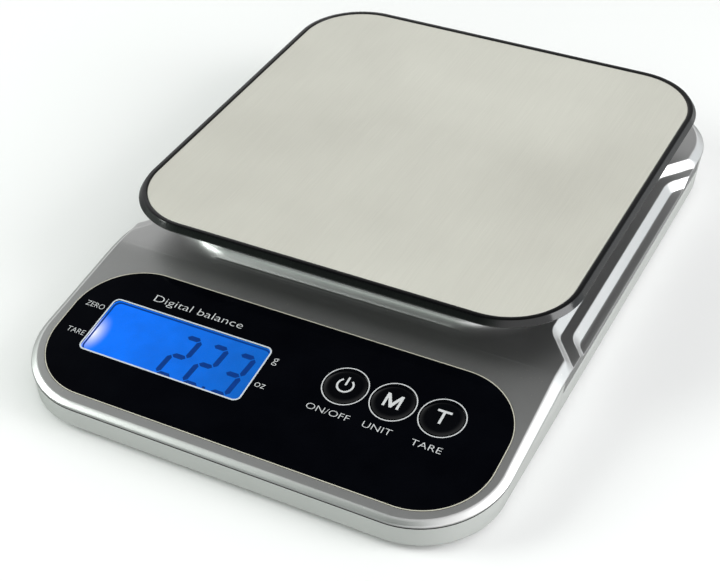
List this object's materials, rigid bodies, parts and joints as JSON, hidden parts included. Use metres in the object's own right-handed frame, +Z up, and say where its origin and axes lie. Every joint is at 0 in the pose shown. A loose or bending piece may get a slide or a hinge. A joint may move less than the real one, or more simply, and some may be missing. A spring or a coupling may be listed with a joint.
{
  "type": "digital gram scale",
  "caption": "Flat bench scale: silver housing with a sloped glossy control panel, lit display and round keys, and a square steel weighing plate in a black tray over a load cell.",
  "frame": {"origin": "middle of the footprint, on the plane of the feet", "axes": "+Z up, +Y towards the back (away from the control panel), +X to the user's right"},
  "size_m": [0.168, 0.2366, 0.0375],
  "materials": {
    "silver_paint": "satin silver paint over moulded plastic",
    "grey_shell": "light grey moulded plastic, satin",
    "panel_gloss": "deep gloss black, printed white",
    "key_gloss": "gloss black with a soft dome",
    "tray_gloss": "gloss black moulded plastic",
    "clear_lens": "clear window",
    "lcd_cell": "blue lit display with dark digits",
    "black_plastic": "matte black",
    "white_plastic": "matte white",
    "carrier_plastic": "glass-filled plastic",
    "light_guide": "milky light guide",
    "elastomer": "striped conductive rubber",
    "circuit_board": "green solder mask on glass fibre",
    "epoxy": "black epoxy",
    "ceramic_chips": "ceramic body with tinned ends",
    "gauge_foil": "amber film over etched foil",
    "sealant": "white silicone",
    "wire_sleeve": "PVC sleeve",
    "cell_jacket": "plain printed jacket with steel ends",
    "plated_steel": "bright zinc or nickel plate",
    "beam_aluminium": "machined aluminium",
    "brushed_plate": "fine straight brushing",
    "rubber": "soft black rubber"
  },
  "bodies": {
    "base": {"top_housing": "silver_paint", "bottom_housing": "grey_shell", "panel_overlay": "panel_gloss", "display_lens": "clear_lens", "lcd_glass": "lcd_cell", "lcd_frame": "black_plastic", "backlight_diffuser": "light_guide", "elastomer_strips": "elastomer", "main_board": "circuit_board", "processor_blob": "epoxy", "chip_components": "ceramic_chips", "crystal_can": "plated_steel", "switch_bodies": "black_plastic", "board_screws": "plated_steel", "load_cell": "beam_aluminium", "strain_gauges": "gauge_foil", "gauge_sealant": "sealant", "load_cell_cable": "wire_sleeve", "base_plate": "plated_steel", "beam_screws": "plated_steel", "overload_screw": "plated_steel", "battery_cells": "cell_jacket", "battery_springs": "plated_steel", "battery_contacts": "plated_steel", "battery_leads": "wire_sleeve", "housing_screws": "plated_steel", "rubber_feet": "rubber"},
    "load_carrier": {"carrier_frame": "carrier_plastic", "carrier_screws": "plated_steel", "carrier_bumpers": "rubber"},
    "platform": {"tray_rim": "tray_gloss", "steel_plate": "brushed_plate"},
    "battery_door": {"battery_door": "grey_shell"},
    "button_power": {"key_power": "key_gloss", "plunger_power": "white_plastic"},
    "button_unit": {"key_unit": "key_gloss", "plunger_unit": "white_plastic"},
    "button_tare": {"key_tare": "key_gloss", "plunger_tare": "white_plastic"}
  },
  "joints": [
    {"name": "load_deflection", "type": "slide", "parent": "base", "child": "load_carrier", "axis": [0, 0, -1], "range_m": [0, 0.0004], "stiffness_N_per_m": 20000, "springref_m": -0.0004, "deforming": ["load_cell"]},
    {"name": "platform_lift", "type": "slide", "parent": "load_carrier", "child": "platform", "axis": [0, 0, 1], "range_m": [0, 0.04]},
    {"name": "battery_door_hinge", "type": "hinge", "parent": "base", "child": "battery_door", "pos_m": [0, 0.0831, 0.0029], "axis": [-1, 0, 0], "range_deg": [0, 100]},
    {"name": "power_press", "type": "slide", "parent": "base", "child": "button_power", "axis": [0, 0.1392, -0.9903], "range_m": [0, 0.0004], "stiffness_N_per_m": 200, "springref_m": -0.0002},
    {"name": "unit_press", "type": "slide", "parent": "base", "child": "button_unit", "axis": [0, 0.1392, -0.9903], "range_m": [0, 0.0004], "stiffness_N_per_m": 200, "springref_m": -0.0002},
    {"name": "tare_press", "type": "slide", "parent": "base", "child": "button_tare", "axis": [0, 0.1392, -0.9903], "range_m": [0, 0.0004], "stiffness_N_per_m": 200, "springref_m": -0.0002}
  ]
}
